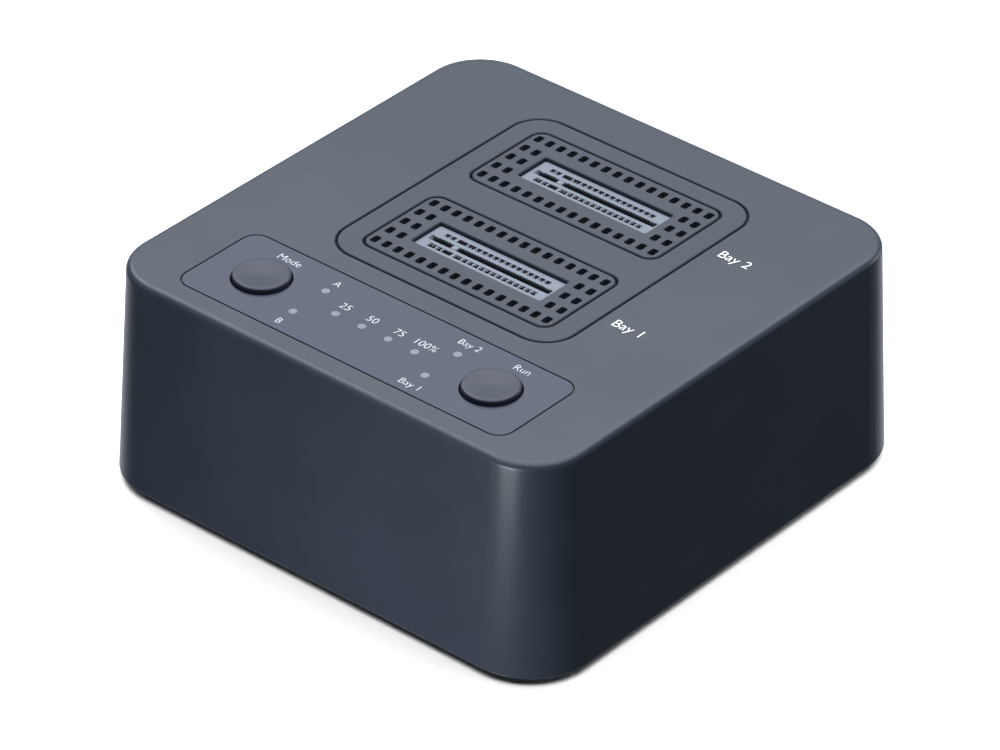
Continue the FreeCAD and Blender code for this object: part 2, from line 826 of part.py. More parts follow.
def main_board():
    """The board under the sockets, notched round the corner bosses."""
    low_z = main_board_bottom_z
    high_z = main_board_top_z
    less = wall + shrink(high_z)
    width = body_width - 2 * (less + board_to_wall)
    depth = body_depth - 2 * less - board_to_wall - board_to_back_wall
    board = slab(width, depth, 1.0, low_z, high_z, (0, (board_to_wall - board_to_back_wall) / 2))
    cuts = []
    keep_clear = corner_boss_radius + corner_boss_clearance
    for x, y in screw_corners:
        side = 4 * keep_clear
        offset = side / 2 - keep_clear
        centre = (x + math.copysign(offset, x), y + math.copysign(offset, y))
        cuts.append(slab(side, side, 1.0, low_z, high_z, centre))
    for place in main_bosses:
        cuts.append(post(place, board_screw_radius + leg_clearance, low_z, high_z))
    for place in link_places():
        cuts.append(leg_hole(place, link_pin_side, link_pin_side, low_z, high_z))
    for place in rocker_terminal_places():
        cuts.append(leg_hole(place, terminal_width, terminal_thickness, low_z, high_z))
    return board.cut(cuts)


def control_board():
    """The board that hangs under the control strip."""
    low_z = control_board_bottom_z
    high_z = control_board_top_z
    board = slab(control_board_width, control_board_depth, 1.0, low_z, high_z, (0, control_y))
    cuts = [post(place, board_screw_radius + leg_clearance, low_z, high_z) for place in control_bosses]
    cuts += [leg_hole(p, switch_leg_width, switch_leg_thickness, low_z, high_z) for p in switch_leg_places()]
    cuts += [leg_hole(p, link_pin_side, link_pin_side, low_z, high_z) for p in link_places()]
    return board.cut(cuts)


def link_housing():
    """The link's moulded body on the main board."""
    width = link_pins * link_pitch
    body = centred_block((0, link_y), width, 2 * link_pitch, main_board_top_z, control_board_bottom_z - link_body_gap)
    holes = [leg_hole(p, link_pin_side, link_pin_side, main_board_top_z, control_board_bottom_z)
             for p in link_places()]
    return body.cut(holes)


def link_pin_row():
    """The link's pins, through both boards."""
    low_z = main_board_bottom_z - leg_below_board
    high_z = control_board_top_z + leg_below_board
    return [centred_block(p, link_pin_side, link_pin_side, low_z, high_z) for p in link_places()]


def port_prism(width, height, radius, front_y, length, x, z):
    """A rounded prism that runs forward from a port's face."""
    body = slab(width, height, radius, 0, length)
    body.rotate(V(0, 0, 0), RIGHT, 90)
    body.translate(V(x, front_y, z))
    return body


def usb_c_shell():
    """The port's drawn steel shell, closed behind by the tongue's block."""
    face_y = port_face_y - usb_setback
    radius = usb_height / 2 - 0.05
    wall_less = usb_shell_thickness
    outer = port_prism(usb_width, usb_height, radius, face_y, usb_length, usb_x, usb_axis_z)
    inner = port_prism(usb_width - 2 * wall_less, usb_height - 2 * wall_less, radius - wall_less,
                       face_y + 1, usb_length + 2, usb_x, usb_axis_z)
    return outer.cut(inner)


def usb_c_tongue():
    """The moulded block at the back of the shell and the tongue that stands from it."""
    face_y = port_face_y - usb_setback
    radius = usb_height / 2 - 0.05
    less = usb_shell_thickness
    block_length = usb_length - usb_tongue_length - 1.0
    back_block = port_prism(usb_width - 2 * less, usb_height - 2 * less, radius - less,
                            face_y - usb_length + block_length, block_length, usb_x, usb_axis_z)
    tongue = port_prism(usb_tongue_width, usb_tongue_thickness, 0.3, face_y - 1.0, usb_length - 1.0 - block_length,
                        usb_x, usb_axis_z)
    return back_block.fuse(tongue).removeSplitter()


def dc_front_y():
    """The front face of the inlet's block, inside the back wall."""
    return body_depth / 2 - shrink(dc_axis_z + dc_height - dc_axis_height) - wall - dc_wall_gap


def dc_jack_body():
    """The inlet: a block on the main board, a collar through the wall, a blind bore."""
    front_y = dc_front_y()
    low = (dc_x - dc_width / 2, front_y - dc_depth, main_board_top_z)
    high = (dc_x + dc_width / 2, front_y, main_board_top_z + dc_height)
    body = block(low, high)
    collar_length = port_face_y - usb_setback - front_y
    collar = Part.makeCylinder(dc_collar_radius, collar_length, V(dc_x, front_y, dc_axis_z), BACK)
    face_y = front_y + collar_length
    bore = Part.makeCylinder(dc_bore_radius, dc_bore_depth, V(dc_x, face_y - dc_bore_depth, dc_axis_z), BACK)
    return body.fuse(collar).cut(bore).removeSplitter()


def dc_jack_pin():
    """The inlet's centre pin, with a bevelled tip."""
    face_y = port_face_y - usb_setback
    start_y = face_y - dc_bore_depth
    length = dc_bore_depth - dc_pin_setback
    pin = Part.makeCylinder(dc_pin_radius, length, V(dc_x, start_y, dc_axis_z), BACK)
    tip = [e for e in pin.Edges if all(abs(v.Y - start_y - length) < 1e-4 for v in e.Vertexes)]
    return pin.makeChamfer(dc_pin_radius / 3, tip)


def dc_jack_spring():
    """The leaf that grips the plug's sleeve, along the bottom of the bore."""
    face_y = port_face_y - usb_setback
    low_z = dc_axis_z - dc_bore_radius + 0.1
    start_y = face_y - dc_bore_depth
    section = [
        (start_y, low_z), (start_y, low_z + 0.25), (start_y + 4.5, low_z + 0.6), (face_y - 2.5, low_z + 0.25),
        (face_y - 2.5, low_z), (start_y + 4.5, low_z + 0.35),
    ]
    return prism([(dc_x - 0.8, y, z) for y, z in section], RIGHT * 1.6)


def power_switch_body():
    """The rocker switch's bezel against the recess floor, and its body behind it."""
    bezel = port_prism(bezel_width, bezel_height, bezel_radius, port_face_y + bezel_thickness, bezel_thickness,
                       rocker_x, dc_axis_z)
    body = block((rocker_x - rocker_body_width / 2, port_face_y - rocker_body_depth,
                  dc_axis_z - rocker_body_height / 2),
                 (rocker_x + rocker_body_width / 2, port_face_y, dc_axis_z + rocker_body_height / 2))
    half_width = rocker_sweep_radius + rocker_gap
    half_height = rocker_half_height + rocker_gap
    depth = rocker_pivot_depth + rocker_belly + rocker_floor_gap
    well = block((rocker_x - half_width, port_face_y - depth, dc_axis_z - half_height),
                 (rocker_x + half_width, port_face_y + bezel_thickness, dc_axis_z + half_height))
    ears = half_height + rocker_pin_length
    pivot_hole = Part.makeCylinder(rocker_pin_radius + rocker_pin_gap, 2 * ears,
                                   V(rocker_x, rocker_pivot_y, dc_axis_z - ears), UP)
    return bezel.fuse(body).cut([well, pivot_hole]).removeSplitter()


def power_rocker():
    """The rocker: a shallow V across its face, arcs at its ends, stub pins, tipped to the off side."""
    end_y = -rocker_tip / 2
    end_x = math.sqrt(rocker_sweep_radius ** 2 - end_y ** 2)
    corners = {side: V(side * rocker_half_length, rocker_tip, 0) for side in (-1, 1)}
    heels = {side: V(side * end_x, end_y, 0) for side in (-1, 1)}
    toes = {side: V(side * rocker_half_length / 3, -rocker_belly, 0) for side in (-1, 1)}
    waist = V(0, rocker_waist, 0)
    ends = {side: Part.Arc(corners[side], V(side * rocker_sweep_radius, 0, 0), heels[side]).toShape()
            for side in (-1, 1)}
    edges = [
        Part.makeLine(corners[-1], waist),
        Part.makeLine(waist, corners[1]),
        ends[1],
        Part.makeLine(heels[1], toes[1]),
        Part.makeLine(toes[1], toes[-1]),
        Part.makeLine(toes[-1], heels[-1]),
        ends[-1],
    ]
    paddle = Part.Face(Part.Wire(Part.__sortEdges__(edges))).extrude(UP * 2 * rocker_half_height)
    reach = rocker_half_height + rocker_gap + rocker_pin_length - rocker_pin_gap
    pins = Part.makeCylinder(rocker_pin_radius, 2 * reach, V(0, 0, rocker_half_height - reach), UP)
    rocker = paddle.fuse(pins).removeSplitter()
    rocker.rotate(V(0, 0, 0), UP, -rocker_swing_deg)
    rocker.translate(V(rocker_x, rocker_pivot_y, dc_axis_z - rocker_half_height))
    return rocker


def power_switch_terminals():
    """Terminals that leave the back of the switch and turn down through the main board."""
    high_z = dc_axis_z
    low_z = main_board_bottom_z - leg_below_board
    return [centred_block(p, terminal_width, terminal_thickness, low_z, high_z) for p in rocker_terminal_places()]


def base_cover():
    """The inset bottom plate: slotted, with foot recesses and countersunk screw seats."""
    plate = shell_body(rim_z, base_top_z, wall + base_gap)
    cuts = []
    head_radius = base_screw_radius * screw_head_ratio + 2 * base_gap
    for place in screw_corners:
        cuts.append(post(place, foot_radius + foot_gap, rim_z, rim_z + foot_recess))
        cuts.append(post(place, head_radius, rim_z, base_screw_seat_z()))
        cuts.append(post(place, base_screw_radius + leg_clearance, rim_z, base_top_z))
    for i in range(slot_count):
        y = (i - (slot_count - 1) / 2) * slot_pitch
        cuts.append(slab(slot_length, slot_width, slot_width / 2 - 0.01, rim_z, base_top_z, (0, y)))
    return plate.cut(cuts)


def base_screw_seat_z():
    """Where a base screw's head bears."""
    return rim_z + foot_recess + screw_head_height + base_gap


def foot(place):
    """A rubber foot stuck into its recess, over the base screw."""
    pad = post(place, foot_radius, 0, rim_z + foot_recess)
    return pad.makeChamfer(foot_bevel, level_edges(pad, 0))


def chip(x, y, side, height):
    """A square package with a pin-one dimple."""
    high_z = main_board_top_z + height
    body = centred_block((x, y), side, side, main_board_top_z, high_z)
    body = body.makeChamfer(chip_bevel, level_edges(body, high_z))
    dimple = post((x - side * 0.34, y - side * 0.34), side * 0.05, high_z - chip_bevel, high_z)
    return body.cut(dimple)


def inductor(x, y):
    """A moulded power inductor."""
    return slab(inductor_side, inductor_side, inductor_corner_radius,
                main_board_top_z, main_board_top_z + inductor_height, (x, y))


def electrolytic(x, y):
    """An electrolytic capacitor on its square base."""
    base_z = main_board_top_z + electrolytic_base
    high_z = main_board_top_z + electrolytic_height
    base = centred_block((x, y), electrolytic_side, electrolytic_side, main_board_top_z, base_z)
    can = post((x, y), electrolytic_side / 2 - electrolytic_bevel / 2, base_z, high_z)
    can = can.makeChamfer(electrolytic_bevel, level_edges(can, high_z))
    return base.fuse(can)


def crystal(x, y):
    """A clock crystal's lidded can."""
    return slab(crystal_width, crystal_depth, crystal_corner_radius,
                main_board_top_z, main_board_top_z + crystal_height, (x, y))


def ceramic(x, y):
    """A ceramic chip capacitor."""
    return centred_block((x, y), ceramic_width, ceramic_depth, main_board_top_z, main_board_top_z + ceramic_height)


def board_parts():
    """The packages on the main board, clear of the sockets, bosses and ports."""
    bridge_x = bridge_chip_spacing / 2
    in_front = source_y - socket_depth / 2 - chips_before_socket
    socket_side = socket_width / 2
    ceramic_x = socket_side + ceramics_to_socket
    inductor_x = socket_side + inductors_to_socket
    electrolytic_x = socket_side + electrolytics_to_socket
    middle_ys = [bay_centre_y + i * part_pitch for i in (-1, 0, 1)]
    ceramic_ys = [bay_centre_y + i * ceramic_pitch for i in (-2, -1, 0, 1, 2)]
    return {
        "source_bridge_chip": [chip(-bridge_x, bay_centre_y, bridge_chip_side, bridge_chip_height)],
        "target_bridge_chip": [chip(bridge_x, bay_centre_y, bridge_chip_side, bridge_chip_height)],
        "controller_chip": [chip(0.0, in_front, controller_side, controller_height)],
        "memory_chip": [chip(-memory_to_controller, in_front, memory_side, memory_height)],
        "power_inductors": [inductor(inductor_x, y) for y in middle_ys],
        "bulk_capacitors": [electrolytic(-electrolytic_x, y) for y in middle_ys],
        "clock_crystals": [crystal(crystal_to_controller + i * crystal_spacing, in_front) for i in (0, 1)],
        "ceramic_capacitors": [ceramic(side * ceramic_x, y) for side in (-1, 1) for y in ceramic_ys],
    }


def status_leds():
    """One chip lamp under each light pipe."""
    return [centred_block(p, led_width, led_depth, control_board_top_z, led_top_z) for p in light_places]


def board_screws(places, board_bottom_z):
    """Screws that clamp a board up against its bosses."""
    length = board_thickness + board_screw_length - 1
    return [screw(place, board_bottom_z, board_screw_radius, length) for place in places]


def all_nodes():
    """Every node of the part: its name and its solids."""
    nodes = {
        "top_housing": [top_housing()],
        "bay_plate": [bay_plate()],
        "control_overlay": [control_overlay()],
        "base_cover": [base_cover()],
        "base_screws": [screw(p, base_screw_seat_z(), base_screw_radius, base_screw_length) for p in screw_corners],
        "main_board": [main_board()],
        "main_board_screws": board_screws(main_bosses, main_board_bottom_z),
        "control_board": [control_board()],
        "control_board_screws": board_screws(control_bosses, control_board_bottom_z),
        "status_leds": status_leds(),
        "switch_domes": [switch_dome(x) for x in button_xs.values()],
        "switch_legs": switch_legs(),
        "board_link_housing": [link_housing()],
        "board_link_pins": link_pin_row(),
        "usb_c_shell": [usb_c_shell()],
        "usb_c_tongue": [usb_c_tongue()],
        "dc_jack_body": [dc_jack_body()],
        "dc_jack_pin": [dc_jack_pin()],
        "dc_jack_spring": [dc_jack_spring()],
        "power_switch_body": [power_switch_body()],
        "power_switch_terminals": power_switch_terminals(),
        "power_rocker": [power_rocker()],
    }
    for bay, y in bay_ys.items():
        nodes[bay + "_grille"] = [grille(y)]
        nodes[bay + "_socket"] = [socket_insulator(y)]
        nodes[bay + "_socket_combs"] = [socket_comb(y, side, first_pin) for side, first_pin in ((-1, 1), (1, 2))]
        nodes[bay + "_contacts"] = socket_contacts(y)
    for name, x in button_xs.items():
        nodes[name + "_button_cap"] = [button_cap(x)]
        nodes[name + "_switch_body"] = [switch_body(x)]
        nodes[name + "_switch_plunger"] = [switch_plunger(x)]
    for name, places in light_guides.items():
        nodes[name] = [light_guide(places)]
    for x, y in screw_corners:
        end = "rear" if y > 0 else "front"
        side = "right" if x > 0 else "left"
        nodes["foot_" + end + "_" + side] = [foot((x, y))]
    nodes.update(board_parts())
    return nodes


os.makedirs("parts", exist_ok=True)
for node, solids in all_nodes().items():
    shape = solids[0] if len(solids) == 1 else Part.makeCompound(solids)
    shape.exportStep(os.path.join("parts", node + ".step"))
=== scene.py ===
import math

import bpy
from mathutils import Matrix, Vector


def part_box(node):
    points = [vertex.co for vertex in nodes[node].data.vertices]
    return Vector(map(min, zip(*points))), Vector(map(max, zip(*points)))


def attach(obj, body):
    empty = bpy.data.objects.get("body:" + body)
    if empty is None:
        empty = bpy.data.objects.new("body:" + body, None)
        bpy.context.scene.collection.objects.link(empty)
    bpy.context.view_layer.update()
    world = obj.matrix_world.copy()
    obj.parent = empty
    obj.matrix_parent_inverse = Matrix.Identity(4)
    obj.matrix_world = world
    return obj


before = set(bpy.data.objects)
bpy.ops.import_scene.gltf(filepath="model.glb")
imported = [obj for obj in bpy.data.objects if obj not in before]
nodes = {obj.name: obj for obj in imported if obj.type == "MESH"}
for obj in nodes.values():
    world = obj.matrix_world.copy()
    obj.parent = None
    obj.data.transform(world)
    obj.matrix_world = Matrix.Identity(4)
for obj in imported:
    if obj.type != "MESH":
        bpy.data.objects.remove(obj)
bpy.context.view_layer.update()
mm = 0.001

# ---------------------------------------------------------------- Studio
# The box stands on a plain white table under one wide softbox. A narrow strip picks out the
# front edge, two small lamps model the walls, the front one kept off the table, and the room
# glows behind the box, which gives its corners a thin rim.
aim_point = Vector((4.41, -6.155, 18.63)) * mm
camera_distance = 813.5 * mm
camera_azimuth = math.radians(39.96)
camera_elevation = math.radians(33.77)
camera_roll = math.radians(0.71)
lens_mm = 218.5
sensor_mm = 36.0
table_size = 6.0
table_colour = (0.95, 0.95, 0.95, 1.0)
box_middle = (0, 0, 0.02)
room_colour = (0.86, 0.89, 1.0, 1.0)
room_strength = 0.02
glow_strength = 1.5
glow_start = 0.55
glow_full = 0.97


def area_light(name, place, towards, width, height, power):
    """A soft rectangular light at place, facing the point towards."""
    light = bpy.data.lights.new(name, "AREA")
    light.shape = "RECTANGLE"
    light.size = width
    light.size_y = height
    light.energy = power
    lamp = bpy.data.objects.new(name, light)
    lamp.location = place
    lamp.rotation_euler = (Vector(towards) - Vector(place)).to_track_quat("-Z", "Y").to_euler()
    bpy.context.scene.collection.objects.link(lamp)
    return lamp


turn = (
    Matrix.Rotation(camera_azimuth, 4, "Z")
    @ Matrix.Rotation(math.pi / 2 - camera_elevation, 4, "X")
    @ Matrix.Rotation(camera_roll, 4, "Z")
)
towards_camera = turn.to_3x3() @ Vector((0, 0, 1))
camera_data = bpy.data.cameras.new("camera")
camera_data.lens = lens_mm
camera_data.sensor_width = sensor_mm
camera_data.clip_start = 0.01
camera_data.clip_end = 50.0
camera = bpy.data.objects.new("camera", camera_data)
camera.matrix_world = Matrix.Translation(aim_point + towards_camera * camera_distance) @ turn
bpy.context.scene.collection.objects.link(camera)
bpy.context.scene.camera = camera

bpy.ops.object.select_all(action="DESELECT")
bpy.ops.mesh.primitive_plane_add(size=table_size)
table = bpy.context.object
table.name = "table"
table_paint = bpy.data.materials.new("table_paint")
table_paint.use_nodes = True
table_shader = table_paint.node_tree.nodes["Principled BSDF"]
table_shader.inputs["Base Color"].default_value = table_colour
table_shader.inputs["Roughness"].default_value = 0.9
table_shader.inputs["Specular IOR Level"].default_value = 0.1
table.data.materials.append(table_paint)

area_light("overhead_softbox", (-0.13, 0.22, 1.0), box_middle, 1.8, 1.8, 46.0)
area_light("edge_strip", (-0.70, 0.26, 0.68), box_middle, 0.05, 0.5, 1.6)
front_lamp = area_light(
    "front_lamp", (0.034, -0.130, 0.005), (0.03, -0.04, 0.008), 0.05, 0.03, 0.17)
shaded_from_lamp = bpy.data.collections.new("shaded_from_front_lamp")
shaded_from_lamp.objects.link(table)
shaded_from_lamp.collection_objects[0].light_linking.link_state = "EXCLUDE"
front_lamp.light_linking.receiver_collection = shaded_from_lamp
area_light("back_lamp", (0.15, 0.28, 0.04), (0.03, 0.04, 0.01), 0.12, 0.08, 0.18)
table.visible_diffuse = False
table.visible_glossy = False

world = bpy.data.worlds.new("studio")
bpy.context.scene.world = world
world.use_nodes = True
room = world.node_tree
direction = room.nodes.new("ShaderNodeTexCoord")
behind = room.nodes.new("ShaderNodeVectorMath")
behind.operation = "DOT_PRODUCT"
behind.inputs[1].default_value = -towards_camera
glow = room.nodes.new("ShaderNodeMapRange")
glow.interpolation_type = "SMOOTHSTEP"
glow.inputs["From Min"].default_value = glow_start
glow.inputs["From Max"].default_value = glow_full
glow.inputs["To Min"].default_value = room_strength
glow.inputs["To Max"].default_value = glow_strength
room.nodes["Background"].inputs["Color"].default_value = room_colour
room.links.new(direction.outputs["Generated"], behind.inputs[0])
room.links.new(behind.outputs["Value"], glow.inputs["Value"])
room.links.new(glow.outputs["Result"], room.nodes["Background"].inputs["Strength"])
bpy.context.scene.view_settings.view_transform = "Standard"

# ---------------------------------------------------------------- Base cover
# The bottom plate is moulded in the same black plastic as the shell, with a coarser grain.
# It sits inside the rim, and air enters through its slots.
base_black = (0.010, 0.011, 0.013)
plastic_specular = 0.265
plastic_sheen_tint = (0.93, 0.96, 1.0, 1.0)
cloud_mm = 14
sheen_spread = 0.05


def moulded(name, colour, gloss, grain_mm, grain_height_mm, mottle=0.10):
    """Moulded plastic: a cloudy tint, a spark-eroded grain, and a sheen that follows it."""
    finish = bpy.data.materials.new(name)
    finish.use_nodes = True
    tree = finish.node_tree
    shader = tree.nodes["Principled BSDF"]
    shader.inputs["Specular IOR Level"].default_value = plastic_specular
    shader.inputs["Specular Tint"].default_value = plastic_sheen_tint
    place = tree.nodes.new("ShaderNodeTexCoord")
    cloud = tree.nodes.new("ShaderNodeTexNoise")
    cloud.inputs["Scale"].default_value = 1 / (cloud_mm * mm)
    cloud.inputs["Detail"].default_value = 4.0
    tint = tree.nodes.new("ShaderNodeValToRGB")
    for stop, share in zip(tint.color_ramp.elements, (1 - mottle, 1 + mottle)):
        stop.color = (*(channel * share for channel in colour), 1.0)
    tint.color_ramp.elements[0].position = 0.35
    tint.color_ramp.elements[1].position = 0.65
    grain = tree.nodes.new("ShaderNodeTexNoise")
    grain.inputs["Scale"].default_value = 1 / (grain_mm * mm)
    grain.inputs["Detail"].default_value = 3.0
    sheen = tree.nodes.new("ShaderNodeMapRange")
    sheen.inputs["To Min"].default_value = gloss - sheen_spread
    sheen.inputs["To Max"].default_value = gloss + sheen_spread
    bump = tree.nodes.new("ShaderNodeBump")
    bump.inputs["Distance"].default_value = grain_height_mm * mm
    for texture in (cloud, grain):
        tree.links.new(place.outputs["Object"], texture.inputs["Vector"])
    tree.links.new(cloud.outputs["Fac"], tint.inputs["Fac"])
    tree.links.new(tint.outputs["Color"], shader.inputs["Base Color"])
    tree.links.new(grain.outputs["Fac"], sheen.inputs["Value"])
    tree.links.new(sheen.outputs["Result"], shader.inputs["Roughness"])
    tree.links.new(grain.outputs["Fac"], bump.inputs["Height"])
    tree.links.new(bump.outputs["Normal"], shader.inputs["Normal"])
    return finish


def dress(finish, *names):
    """Gives CAD nodes their finish."""
    for name in names:
        slots = nodes[name].data.materials
        slots.clear()
        slots.append(finish)


dress(moulded("base_plastic", base_black, 0.62, 0.35, 0.02), "base_cover")

# ---------------------------------------------------------------- Feet
# Four soft rubber discs, die cut and stuck into their recesses over the base screws.
rubber_black = (0.014, 0.014, 0.015)

dress(moulded("foot_rubber", rubber_black, 0.85, 0.12, 0.03),
      "foot_front_left", "foot_front_right", "foot_rear_left", "foot_rear_right")

# ---------------------------------------------------------------- Screws
# Zinc-plated steel, faintly blotched, with turning marks too fine to see one by one.
zinc_grey = (0.42, 0.43, 0.45)
streak_stretch = (0.15, 1.0, 1.0)
tarnish_mm = 3
metal_sheen_spread = 0.07


def metal(name, colour, gloss, streak_mm=0.25, tarnish=0.15):
    """Plated or drawn metal: fine streaks along X in its gloss, and a faint tarnish."""
    finish = bpy.data.materials.new(name)
    finish.use_nodes = True
    tree = finish.node_tree
    shader = tree.nodes["Principled BSDF"]
    shader.inputs["Metallic"].default_value = 1.0
    place = tree.nodes.new("ShaderNodeTexCoord")
    stretch = tree.nodes.new("ShaderNodeMapping")
    stretch.inputs["Scale"].default_value = streak_stretch
    streaks = tree.nodes.new("ShaderNodeTexNoise")
    streaks.inputs["Scale"].default_value = 1 / (streak_mm * mm)
    cloud = tree.nodes.new("ShaderNodeTexNoise")
    cloud.inputs["Scale"].default_value = 1 / (tarnish_mm * mm)
    cloud.inputs["Detail"].default_value = 5.0
    tint = tree.nodes.new("ShaderNodeValToRGB")
    tint.color_ramp.elements[0].color = (*(channel * (1 - tarnish) for channel in colour), 1.0)
    tint.color_ramp.elements[1].color = (*colour, 1.0)
    tint.color_ramp.elements[0].position = 0.3
    tint.color_ramp.elements[1].position = 0.7
    sheen = tree.nodes.new("ShaderNodeMapRange")
    sheen.inputs["To Min"].default_value = gloss - metal_sheen_spread
    sheen.inputs["To Max"].default_value = gloss + metal_sheen_spread
    tree.links.new(place.outputs["Object"], stretch.inputs["Vector"])
    tree.links.new(stretch.outputs["Vector"], streaks.inputs["Vector"])
    tree.links.new(place.outputs["Object"], cloud.inputs["Vector"])
    tree.links.new(cloud.outputs["Fac"], tint.inputs["Fac"])
    tree.links.new(tint.outputs["Color"], shader.inputs["Base Color"])
    tree.links.new(streaks.outputs["Fac"], sheen.inputs["Value"])
    tree.links.new(sheen.outputs["Result"], shader.inputs["Roughness"])
    return finish


dress(metal("zinc_plate", zinc_grey, 0.38),
      "base_screws", "main_board_screws", "control_board_screws")

# ---------------------------------------------------------------- Circuit boards
# Glass-fibre boards under black solder resist. The copper tracks show as faint ridges,
# because the resist runs over them.
resist_black = (0.006, 0.010, 0.009)
track_tint = (0.014, 0.022, 0.019)
track_pitch_mm = 0.9
track_share = 0.035
track_height = 0.03 * mm
resist_gloss = 0.32


def board_finish(name, resist, tracks, pitch_mm):
    """Solder resist with the pattern of the tracks showing through."""
    finish = bpy.data.materials.new(name)
    finish.use_nodes = True
    tree = finish.node_tree
    shader = tree.nodes["Principled BSDF"]
    shader.inputs["Roughness"].default_value = resist_gloss
    place = tree.nodes.new("ShaderNodeTexCoord")
    routing = tree.nodes.new("ShaderNodeTexBrick")
    routing.inputs["Scale"].default_value = 1 / (pitch_mm * 4 * mm)
    routing.inputs["Mortar Size"].default_value = track_share
    routing.inputs["Color1"].default_value = (*resist, 1.0)
    routing.inputs["Color2"].default_value = (*(channel * 1.2 for channel in resist), 1.0)
    routing.inputs["Mortar"].default_value = (*tracks, 1.0)
    bump = tree.nodes.new("ShaderNodeBump")
    bump.inputs["Distance"].default_value = track_height
    tree.links.new(place.outputs["Object"], routing.inputs["Vector"])
    tree.links.new(routing.outputs["Color"], shader.inputs["Base Color"])
    tree.links.new(routing.outputs["Fac"], bump.inputs["Height"])
    tree.links.new(bump.outputs["Normal"], shader.inputs["Normal"])
    return finish


dress(board_finish("solder_resist", resist_black, track_tint, track_pitch_mm),
      "main_board", "control_board")

# ---------------------------------------------------------------- Parts on the boards
# Black epoxy packages and moulded inductors, tinned capacitor cans, fired ceramic chips and
# lidded crystals, all soldered down by machine.
epoxy_black = (0.012, 0.012, 0.013)
can_silver = (0.62, 0.63, 0.65)
ceramic_tan = (0.24, 0.16, 0.09)
lid_silver = (0.55, 0.55, 0.57)

dress(moulded("chip_epoxy", epoxy_black, 0.5, 0.1, 0.008),
      "source_bridge_chip", "target_bridge_chip", "controller_chip", "memory_chip",
      "power_inductors")
dress(metal("capacitor_can", can_silver, 0.3), "bulk_capacitors")
dress(moulded("ceramic_body", ceramic_tan, 0.45, 0.1, 0.005), "ceramic_capacitors")
dress(metal("crystal_lid", lid_silver, 0.33), "clock_crystals")

# ---------------------------------------------------------------- Board link, switches and lamps
# Tinned pins in black nylon join the boards. Each tact switch is a black nylon body with a
# steel dome and tinned legs, and the lamps are clear epoxy.
nylon_black = (0.010, 0.010, 0.011)
acetal_grey = (0.05, 0.05, 0.055)
tin_silver = (0.60, 0.58, 0.52)
lamp_clear = (0.62, 0.62, 0.55)

nylon = moulded("black_nylon", nylon_black, 0.5, 0.15, 0.01)
tinned = metal("tinned_brass", tin_silver, 0.34)
dress(nylon, "board_link_housing", "mode_switch_body", "start_switch_body")
dress(tinned, "board_link_pins", "switch_legs", "switch_domes", "power_switch_terminals")
dress(moulded("acetal", acetal_grey, 0.4, 0.2, 0.005),
      "mode_switch_plunger", "start_switch_plunger")
dress(moulded("lamp_epoxy", lamp_clear, 0.2, 0.3, 0.004), "status_leds")

# ---------------------------------------------------------------- Card sockets
# Two upright sockets with 67 contacts each, in a pale grey glass-filled moulding. The spring
# contacts stand in its chamber and show in the windows; painted shade darkens both below the top
# skin.
socket_grey = (0.125, 0.145, 0.185)
contact_grey = (0.095, 0.105, 0.130)
lit_skin = 0.06 * mm
painted_shade_depth = 0.45 * mm
painted_shade_share = 0.30
socket_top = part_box("source_socket")[1].z


def paint_shade_below(finish, top, lit, depth, share):
    """Paints shade into a finish: fades it towards the dark over a depth below a level top face."""
    tree = finish.node_tree
    shader = tree.nodes["Principled BSDF"]
    colour = shader.inputs["Base Color"].links[0].from_socket
    place = tree.nodes.new("ShaderNodeTexCoord")
    height = tree.nodes.new("ShaderNodeSeparateXYZ")
    fade = tree.nodes.new("ShaderNodeMapRange")
    fade.inputs["From Min"].default_value = top - depth
    fade.inputs["From Max"].default_value = top - lit
    fade.inputs["To Min"].default_value = share
    fade.inputs["To Max"].default_value = 1.0
    shaded = tree.nodes.new("ShaderNodeVectorMath")
    shaded.operation = "SCALE"
    tree.links.new(place.outputs["Object"], height.inputs["Vector"])
    tree.links.new(height.outputs["Z"], fade.inputs["Value"])
    tree.links.new(colour, shaded.inputs["Vector"])
    tree.links.new(fade.outputs["Result"], shaded.inputs["Scale"])
    tree.links.new(shaded.outputs["Vector"], shader.inputs["Base Color"])
    return finish


socket_moulding = moulded("socket_moulding", socket_grey, 0.42, 0.12, 0.006, 0.05)
contact_plate = metal("contact_plate", contact_grey, 0.45)
# Painted shade: the socket mouldings and contacts are painted darker below the top skin, where the
# chamber lies in shadow.
dress(paint_shade_below(socket_moulding, socket_top, lit_skin, painted_shade_depth, painted_shade_share),
      "source_socket", "source_socket_combs", "target_socket", "target_socket_combs")
dress(paint_shade_below(contact_plate, socket_top, lit_skin, painted_shade_depth, painted_shade_share),
      "source_contacts", "target_contacts")

# ---------------------------------------------------------------- Ports and power switch
# A drawn steel USB-C shell with a black tongue, a black inlet with a bright pin, and a
# polished rocker in a black bezel, all facing the recess in the back wall.
shell_steel = (0.56, 0.56, 0.58)
pin_bright = (0.70, 0.68, 0.62)
rocker_black = (0.008, 0.008, 0.009)

dress(metal("drawn_steel", shell_steel, 0.3), "usb_c_shell")
dress(nylon, "usb_c_tongue", "dc_jack_body", "power_switch_body")
dress(metal("bright_pin", pin_bright, 0.22), "dc_jack_pin", "dc_jack_spring")
dress(moulded("polished_rocker", rocker_black, 0.18, 0.6, 0.002), "power_rocker")

# ---------------------------------------------------------------- USB-C contacts
# Twelve gold-plated pads lie in each face of the receptacle's tongue, 0.5 mm apart, moulded in
# almost flush.
pad_gold = (0.62, 0.45, 0.19)
pad_count = 12
pad_pitch = 0.5 * mm
pad_size = Vector((0.25, 2.6, 0.06)) * mm
pad_setback = 0.35 * mm
pad_proud = 0.02 * mm
tongue_half_thickness = 0.35 * mm
tongue_low, tongue_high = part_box("usb_c_tongue")
tongue_middle = (tongue_low + tongue_high) / 2

